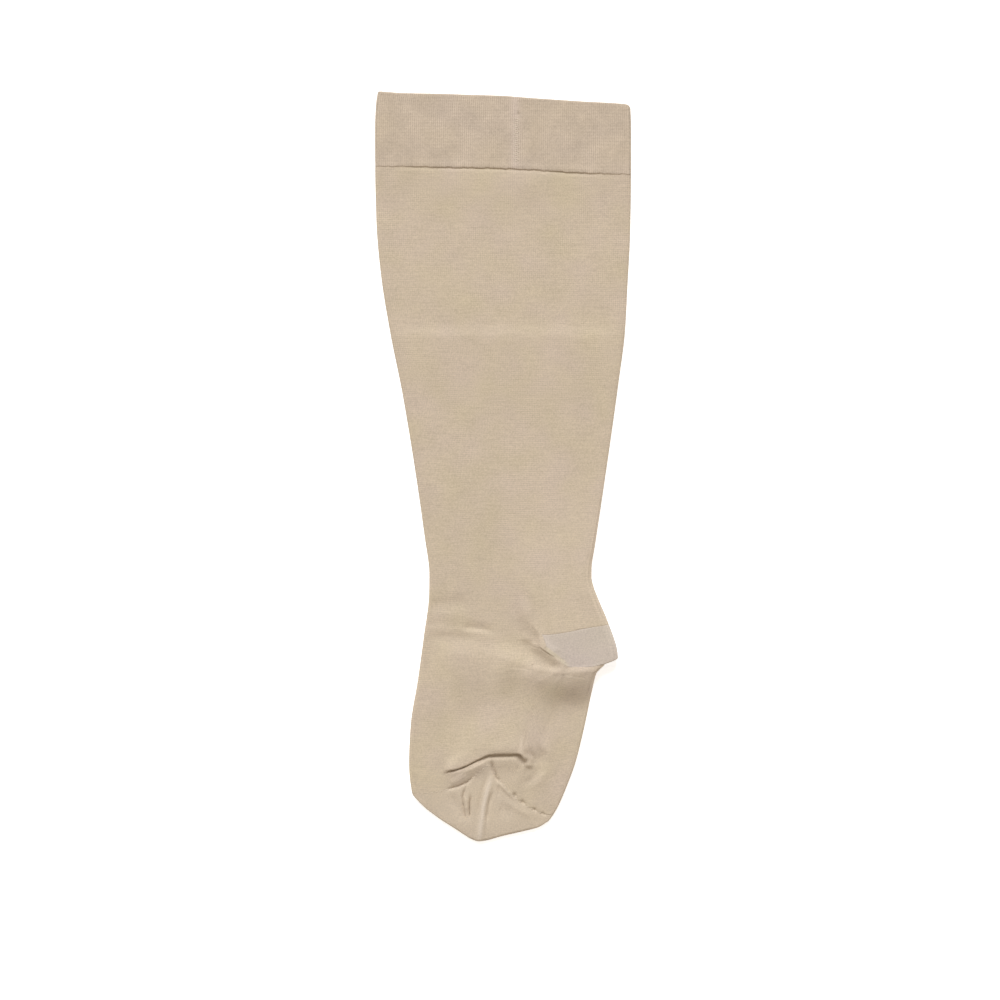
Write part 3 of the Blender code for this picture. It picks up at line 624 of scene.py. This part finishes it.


# The finish of each cloth, with painted shade in its colour. A name that ends in Shade is a share of the
# colour: stitchShade, columnShade and ribShade darken it where the knit lies low and lighten it where its
# yarn is raised, as painted shade, and inlayShade is the inlaid thread's own lines. One that ends in Height
# or Bump is in millimetres, and one that ends in Scale is a noise's, for each metre. "trim" is the colour
# where trimmed.
legLook = {
    "warm": (0.536, 0.438, 0.308), "cool": (0.538, 0.432, 0.334), "tintScale": 45.0, "tintGain": (2.0, -0.5),
    "roughness": 0.8, "grainRoughness": 0.1, "gloss": 0.25, "sheen": 0.08, "sheenRoughness": 0.5,
    "walesEach": 2.0, "courseLength": 0.62, "inlayPitch": 1.23,  # stitches to a rib, then millimetres
    "streak": 0.22, "streakAcross": 0.09, "streakPitch": 0.85, "cloud": 0.14, "cloudScale": 55.0,
    "grain": 0.48, "grainScale": 1100.0,
    "patchScale": 95.0, "patchGain": (3.6, -1.1), "patchLeast": 0.15, "patchMost": 1.6,
    "stitchShade": 0.06, "columnShade": 0.05, "columnMean": 0.67, "ribShade": 0.08, "inlayShade": 0.09,
    "stitchHeight": 0.05, "columnHeight": 0.05, "ribBump": 0.0, "fuzzHeight": 0.03, "streakHeight": 0.03,
}
# The band's ribShade paints shade into the grooves between its ribs, on top of their own relief.
bandLook = {
    **legLook, "warm": (0.486, 0.391, 0.290), "cool": (0.481, 0.387, 0.302), "trim": (0.51, 0.41, 0.33),
    "walesEach": 1.0, "courseLength": 0.9, "streak": 0.16,
    "ribShade": 0.26, "stitchShade": 0.05, "columnShade": 0.0,
}
heelLook = {
    **legLook, "warm": (0.520, 0.446, 0.357), "cool": (0.518, 0.434, 0.371), "trim": (0.580, 0.488, 0.365),
    "streak": 0.03, "stitchShade": 0.04, "columnShade": 0.04, "inlayShade": 0.03,
}
# toeLook's "trim" is the pale colour along the toe's ridge: partly the stretched cloth's tone, partly a painted
# highlight.
toeLook = {
    # The toe cap's own colour, lifted by about a tenth partly to make up for the shade of its slope away from
    # the key light: painted light in part.
    **legLook, "warm": (0.560, 0.455, 0.332), "cool": (0.550, 0.450, 0.345), "trim": (0.62, 0.52, 0.412),
    "streak": 0.03, "stitchShade": 0.04, "inlayShade": 0.03,
}
threadLook = {
    **legLook, "warm": (0.60, 0.51, 0.40), "cool": (0.60, 0.51, 0.40), "streak": 0.0, "cloud": 0.0,
    "stitchShade": 0.0, "columnShade": 0.0, "ribShade": 0.0, "inlayShade": 0.0,
    "stitchHeight": 0.0, "columnHeight": 0.0, "streakHeight": 0.0,
}
materials = {
    "band": knitMaterial("bandRib", bandLook), "leg": knitMaterial("legKnit", legLook),
    "heel": knitMaterial("heelKnit", heelLook), "toe": knitMaterial("toeKnit", toeLook),
    "thread": knitMaterial("sewingThread", threadLook),
}
print("materials made")


spacing = {
    "legLength": 287.0,  # of the leg's stage, in millimetres
    "legStart": [0.0, 0.5, 1.0, 1.6, 2.0, 2.5, 3.2, 4.5],  # the leg's first rows, in millimetres from its top
    "legStop": 0.35,  # and its last, from the heel's seam
    # the share of a stage that is passed by a share of its rows: closer at the fold from packing, above the
    # heel and on the foot before the heel
    "leg": ([0.0, 0.24, 0.46, 0.76, 1.0], [0.02, 0.31, 0.42, 0.80, 0.995]),
    "foot": ([0.0, 0.08, 0.44, 1.0], [0.0, 0.12, 0.30, 1.0]),
    "afterSeam": {"pocket": 0.015, "foot": 0.005, "cap": 0.008},  # one more row just past a seam
    "beforeSeam": {"tuck": 0.014, "toes": 0.014},  # and one just before
    "middle": (0.2, 0.8),  # the columns of the upper layer are closer between these shares of the width
}


def shellRows():
    # Values of s down the stocking, each stage's rows spread by straight lines between the shares in the
    # table.
    stages = []
    for number, (name, count) in enumerate(rowsIn.items()):
        share = np.arange(count) / count
        if name == "leg":
            first = np.array(spacing["legStart"]) / spacing["legLength"]
            spread = np.interp(np.linspace(0.0, 1.0, count), *spacing["leg"])[1:]
            share = np.concatenate([first, spread, [1.0 - spacing["legStop"] / spacing["legLength"]]])
        if name == "foot":
            share = np.interp(share, *spacing["foot"])
        if name in spacing["afterSeam"]:
            share = np.insert(share, 1, spacing["afterSeam"][name])
        if name in spacing["beforeSeam"]:
            share = np.append(share, 1.0 - spacing["beforeSeam"][name])
        stages.append((np.full(share.size, name), number + share))
    names = np.concatenate([names for names, _ in stages])
    return names, np.append(np.concatenate([rows for _, rows in stages]), float(len(rowsIn)))


def shellColumns(middle, side, lower, edge):
    # Values of c round the tube, closer over the middle of the upper layer, and the wale number at each and
    # at the last one's far side. Without a number for the lower layer, its columns lie under the upper one's.
    knots = [0, side, side + middle, middle + 2 * side]
    upper = np.interp(np.arange(knots[-1] + 1), knots, [0.0, *spacing["middle"], 1.0])
    upper = np.union1d(upper, [stocking["pocketStart"]])
    even = 3.0 - upper if lower is None else np.linspace(2.0, 3.0, lower + 1)
    lower = np.union1d(even, [3.0 - stocking["pocketStart"]])
    bend = np.arange(1, edge) / edge
    columns = np.concatenate([upper, 1.0 + bend, lower, 3.0 + bend])
    return columns, waleNumber(np.append(columns, 4.0))


def waleNumber(c):
    # A wale for each of the band's ribs, evenly over each layer and round each edge.
    return np.interp(c, np.arange(5.0), np.cumsum([0.0] + 2 * [band["ribs"], band["edgeRibs"]]))


def rounded(chosen, wall, shut):
    # The wall's thickness at each point of the grid, less along the cloth's own ends, so that seams lie in a
    # groove.
    padded = np.pad(chosen, ((1, 1), (0, 0)), constant_values=False)
    if shut:
        padded[-1] = True
    whole = padded & np.roll(padded, 1, axis=1)
    inside = whole[:-1] & whole[1:]
    return wall * np.where(inside, 1.0, stocking["seamWall"])


def makeBand():
    # The band's wall is whole but for both edges, where it thins as a quarter circle.
    deep = band["deep"]
    even = np.linspace(band["evenFrom"], deep - band["evenTo"], band["evenRows"])
    rows = np.concatenate([band["upperRows"], even, deep - np.array(band["lowerRows"])]) / deep
    edge = np.arange(1, band["roundEdge"]) / band["roundEdge"]
    upper = np.linspace(0.0, 1.0, band["ribs"] * band["upperPerRib"] + 1)
    lower = np.linspace(2.0, 3.0, band["ribs"] * band["lowerPerRib"] + 1)
    columns = np.concatenate([upper, 1.0 + edge, lower, 3.0 + edge])
    fromEnd = np.minimum(rows, 1.0 - rows) * deep
    thinned = np.clip(1.0 - fromEnd / band["rimRadius"], 0.0, 1.0) ** 2 * band["rimRound"]
    thickness = band["wall"] * np.sqrt(1.0 - thinned)[:, None] * np.ones(columns.size)
    chosen = np.ones((rows.size - 1, columns.size), bool)
    wales = waleNumber(np.append(columns, 4.0))
    return clothPiece("bandShell", bandPoint, rows, columns, chosen, thickness, wales, materials["band"])


# Columns over the middle and the sides of the upper layer, over the lower one and round an edge.
shellGrids = {
    "legFootShell": (96, 18, 26, 6), "heelShell": (104, 20, 40, 8), "toeShell": (120, 24, None, 8),
}


def makeShells():
    # The leg and foot, the heel pocket and the toe cap are patches of one surface.
    stageNames, rows = shellRows()
    made = {}
    for name, slot in (("legFootShell", "leg"), ("heelShell", "heel"), ("toeShell", "toe")):
        columns, wales = shellColumns(*shellGrids[name])
        middles = (columns + np.append(columns[1:], 4.0)) / 2.0
        share = np.where(middles < 2.0, np.clip(middles, 0.0, 1.0), np.clip(3.0 - middles, 0.0, 1.0))
        names, share = np.meshgrid(stageNames, share, indexing="ij")
        pocket = np.isin(names, ["pocket", "tuck"]) & (share > stocking["pocketStart"])
        cap = np.isin(names, ["cap", "shut"])
        chosen = {"legFootShell": ~pocket & ~cap, "heelShell": pocket, "toeShell": cap}[name]
        used = np.flatnonzero(chosen.any(axis=1))
        first, last = used[0], used[-1] + 1
        chosen, span = chosen[first:last], rows[first:last + 1]
        shut = name == "toeShell"
        thickness = rounded(chosen, stocking["wall"], shut)
        if name == "legFootShell":
            thin = np.array(stocking["insideBand"])
            thickness[:thin.size] = stocking["wall"] * thin[:, None]
        cells = (span, columns, chosen, thickness, wales)
        made[name] = clothPiece(name, stockingPoint, *cells, materials[slot], shut)
    return made


bandShell = makeBand()
shells = makeShells()


def trimPiece(piece, trimmed):
    # Stores trimmed(x, up, height), 0 to 1, at each of the piece's points.
    mesh = piece.data
    place = np.empty(len(mesh.vertices) * 3)
    mesh.vertices.foreach_get("co", place)
    x, up, height = place.reshape(-1, 3).T / mm + np.array([[0.0], [stocking["length"] / 2.0], [0.0]])
    share = trimmed(x, up, height).astype(np.float32)
    mesh.attributes.new("trim", "FLOAT", "POINT").data.foreach_set("value", share)


trims = {
    "fold": ((20.1, 122.6), (40.0, 107.6)),  # the line of (x, up) that the strip lies along
    "foldWidth": 1.5, "foldBlur": 0.8, "foldTo": 36.0, "foldFade": 6.0,
    "ridgeWidth": 1.1, "ridgeAbove": 1.2,  # above this many walls, so not on the lower layer
    "joinAside": 0.8, "joinWidth": 2.0, "joinAbove": 1.3,  # the same
}


def alongFold(x, up, height):
    # The leg's yarn shows in a strip along the slanting part of the heel's fold: a smooth step of the
    # distance past the fold's line, and another across the strip's end.
    (x0, up0), (x1, up1) = trims["fold"]
    past = ((x - x0) * (up0 - up1) + (up - up0) * (x1 - x0)) / np.hypot(x1 - x0, up1 - up0)
    strip = 1.0 - smooth((past - trims["foldWidth"]) / trims["foldBlur"])
    return strip * (1.0 - smooth((x - trims["foldTo"]) / trims["foldFade"]))


def ridgeStretchAndHighlight(x, up, height):
    # The cloth is paler along the ridge down the upper side of the toe, as a bell across it: partly the
    # stretched cloth's paler tone and partly a painted highlight for the light that the ridge catches.
    ridge = creaseTable([("all", 1.0, trims["ridgeWidth"], trims["ridgeWidth"], toeRidge)])
    return relief(ridge, x, up, {"all": 1.0}) * (height > stocking["wall"] * trims["ridgeAbove"])


def alongJoin(x, up, height):
    # The band's doubled cloth is a little pinker over its join, as a bell across it.
    beside = x - band["joinX"] + trims["joinAside"]
    bell = np.exp(-(beside**2) / (2.0 * trims["joinWidth"] ** 2))
    return bell * (height > band["wall"] * trims["joinAbove"])


trimPiece(bandShell, alongJoin)
trimPiece(shells["heelShell"], alongFold)
trimPiece(shells["toeShell"], ridgeStretchAndHighlight)


def threadPiece(name, path, lift, radius, sides=8):
    # A tube along the path: a circle of points across the tangent at each of its points, with flat ends.
    tangent = np.gradient(path, axis=0)
    tangent /= np.linalg.norm(tangent, axis=1, keepdims=True)
    aside = np.cross(tangent, lift)
    aside /= np.linalg.norm(aside, axis=1, keepdims=True)
    over = np.cross(aside, tangent)
    angle = np.arange(sides) * 2.0 * np.pi / sides
    ring = np.cos(angle)[None, :, None] * aside[:, None] + np.sin(angle)[None, :, None] * over[:, None]
    points = path[:, None] + radius * ring
    i, j = np.meshgrid(np.arange(len(path) - 1), np.arange(sides), indexing="ij")
    k = (j + 1) % sides
    faces = np.stack([i * sides + j, (i + 1) * sides + j, (i + 1) * sides + k, i * sides + k], axis=-1)
    ends = [list(range(sides)), list(range((len(path) - 1) * sides, len(path) * sides))[::-1]]
    mesh = bpy.data.meshes.new(name)
    placed = (points.reshape(-1, 3) - [0.0, stocking["length"] / 2.0, 0.0]) * mm
    mesh.from_pydata(placed.tolist(), [], faces.reshape(-1, 4).tolist() + ends)
    mesh.uv_layers.new(name="knit")
    mesh.shade_smooth()
    mesh.materials.append(materials["thread"])
    piece = bpy.data.objects.new(name, mesh)
    bpy.context.scene.collection.objects.link(piece)
    return piece


stitches = {
    "radius": 0.19,  # of the thread
    "bandFrom": 444.0, "bandTo": 415.6, "bandWidth": 4.8, "bandStep": 2.46,  # the zigzag
    "bandPoints": 16,  # along each turn
    "bandSink": 0.04, "bandDip": 0.4, "dipPower": 6,  # the thread lies this deep, and deeper at its turns
    "toePitch": 3.0, "toeDip": 0.42, "toeSink": 0.05,
    "toeRise": 0.6,  # its middle line's share of the way from the cloth's middle to its face
    "toePoints": 12.0,  # along each stitch
    "toeFrom": 0.02, "toeTo": 0.98,  # shares of the upper layer's width
    "toeMeasured": 4000,  # points by which the seam's length is measured
}


def makeBandStitches():
    # A zigzag over the join: x is a triangle wave of the way down, and the thread dips into the cloth at each
    # turn.
    count = int((stitches["bandFrom"] - stitches["bandTo"]) / stitches["bandStep"])
    t = np.linspace(0.0, count, count * stitches["bandPoints"] + 1)
    swing = 2.0 * np.abs(2.0 * (t - np.floor(t + 0.5))) - 1.0
    x = band["joinX"] + stitches["bandWidth"] / 2.0 * swing
    up = stitches["bandFrom"] - stitches["bandStep"] * t
    share = (x + band["halfWidth"]) / (2.0 * band["halfWidth"])
    s = (across(bandTop, share) - up) / (across(bandTop, share) - across(bandFoot, share))
    surface = bandPoint(s, share)[:, 2] + band["wall"] / 2.0
    height = surface - stitches["bandSink"] - stitches["bandDip"] * np.abs(swing) ** stitches["dipPower"]
    upright = np.array([0.0, 0.0, 1.0])
    return threadPiece("bandStitches", np.stack([x, up, height], axis=1), upright, stitches["radius"])


def makeToeStitches():
    # A running thread along the upper side of the toe's seam, which dips through the cloth between its
    # stitches as a cosine of the way along.
    row = float(list(rowsIn).index("cap"))
    fine = np.linspace(stitches["toeFrom"], stitches["toeTo"], stitches["toeMeasured"])
    s = np.full(fine.shape, row)
    middle = stockingPoint(s, fine)
    length = np.concatenate([[0.0], np.cumsum(np.linalg.norm(np.diff(middle, axis=0), axis=1))])
    at = np.arange(0.0, length[-1], stitches["toePitch"] / stitches["toePoints"])
    c = np.interp(at, length, fine)
    s = np.full(c.shape, row)
    normal = outward(stockingPoint, s, c)
    dip = stitches["toeDip"] * np.cos(2.0 * np.pi * at / stitches["toePitch"])
    lift = stocking["wall"] / 2.0 * stitches["toeRise"] + dip - stitches["toeSink"]
    path = stockingPoint(s, c) + normal * lift[:, None]
    return threadPiece("toeStitches", path, normal, stitches["radius"])


bandStitches = makeBandStitches()
toeStitches = makeToeStitches()
print("stitches made")

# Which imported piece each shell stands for, its finish, and the flat cut of what shows, all round the tube, in
# metres and square metres.
sewn = [
    (bandShell, "top_band", "band_knit", (0.315, 0.046), None, ["legFootShell"], [bandStitches]),
    (shells["legFootShell"], "leg_foot", "leg_knit", (0.314, 0.400), 0.0945, ["bandShell", "toeShell"], []),
    (shells["heelShell"], "heel_pocket", "heel_knit", (0.094, 0.048), 0.0029, ["legFootShell"], []),
    (shells["toeShell"], "toe_cap", "toe_knit", (0.172, 0.045), 0.0038, ["legFootShell"], [toeStitches]),
]
for piece, node, slot, flat, area, others, sewnOn in sewn:
    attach(piece, "root")
    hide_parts(node)
for piece, slot in ((bandStitches, "band_knit"), (toeStitches, "toe_knit")):
    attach(piece, "root")
print("pieces on the frame")

studio = {
    "floorSize": 60.0, "floorBelow": 0.0003,  # in metres
    "floorColour": (0.92, 0.92, 0.92), "floorGlow": 0.55, "floorRoughness": 0.9,
    "skyColour": (1.03, 0.955, 0.86), "skyStrength": 0.52,
    "keyColour": (0.974, 1.038, 1.119), "keyStrength": 3.0, "keyAngle": 0.5, "keyFrom": (-0.12, 1.0, 0.84),
    "cameraOver": (-1.85, -20.6), "cameraHeight": 1500.0, "lens": 87.8, "sensorWidth": 36.0,  # in millimetres
}


def makeFloor():
    # A pale floor just under the stocking, which glows a little so that it stays white.
    half = studio["floorSize"] / 2.0
    corners = [(-half, -half), (half, -half), (half, half), (-half, half)]
    mesh = bpy.data.meshes.new("floor")
    mesh.from_pydata([(x, y, -studio["floorBelow"]) for x, y in corners], [], [(0, 1, 2, 3)])
    paint = bpy.data.materials.new("floorPaint")
    paint.use_nodes = True
    shader = paint.node_tree.nodes["Principled BSDF"]
    shader.inputs["Base Color"].default_value = (*studio["floorColour"], 1.0)
    shader.inputs["Roughness"].default_value = studio["floorRoughness"]
    shader.inputs["Specular IOR Level"].default_value = 0.0
    shader.inputs["Emission Color"].default_value = (1.0, 1.0, 1.0, 1.0)
    shader.inputs["Emission Strength"].default_value = studio["floorGlow"]
    mesh.materials.append(paint)
    floor = bpy.data.objects.new("floor", mesh)
    bpy.context.scene.collection.objects.link(floor)


def makeLights():
    # A warm sky all round, and a wide, soft sun from beyond the band.
    sky = bpy.data.worlds.new("studio")
    sky.use_nodes = True
    background = sky.node_tree.nodes["Background"]
    background.inputs["Color"].default_value = (*studio["skyColour"], 1.0)
    background.inputs["Strength"].default_value = studio["skyStrength"]
    bpy.context.scene.world = sky
    lamp = bpy.data.lights.new("softKey", "SUN")
    lamp.energy = studio["keyStrength"]
    lamp.angle = studio["keyAngle"]
    lamp.color = studio["keyColour"]
    key = bpy.data.objects.new("softKey", lamp)
    key.rotation_mode = "QUATERNION"
    key.rotation_quaternion = Vector(studio["keyFrom"]).to_track_quat("Z", "Y")
    bpy.context.scene.collection.objects.link(key)


def makeCamera():
    # Looks straight down, a little beside the middle of the stocking.
    lens = bpy.data.cameras.new("camera")
    lens.type = "PERSP"
    lens.lens = studio["lens"]
    lens.sensor_width = studio["sensorWidth"]
    camera = bpy.data.objects.new("camera", lens)
    camera.location = [place * mm for place in (*studio["cameraOver"], studio["cameraHeight"])]
    bpy.context.scene.collection.objects.link(camera)
    bpy.context.scene.camera = camera


makeFloor()
makeLights()
makeCamera()
bpy.context.scene.view_settings.view_transform = "Standard"
print("studio set up")
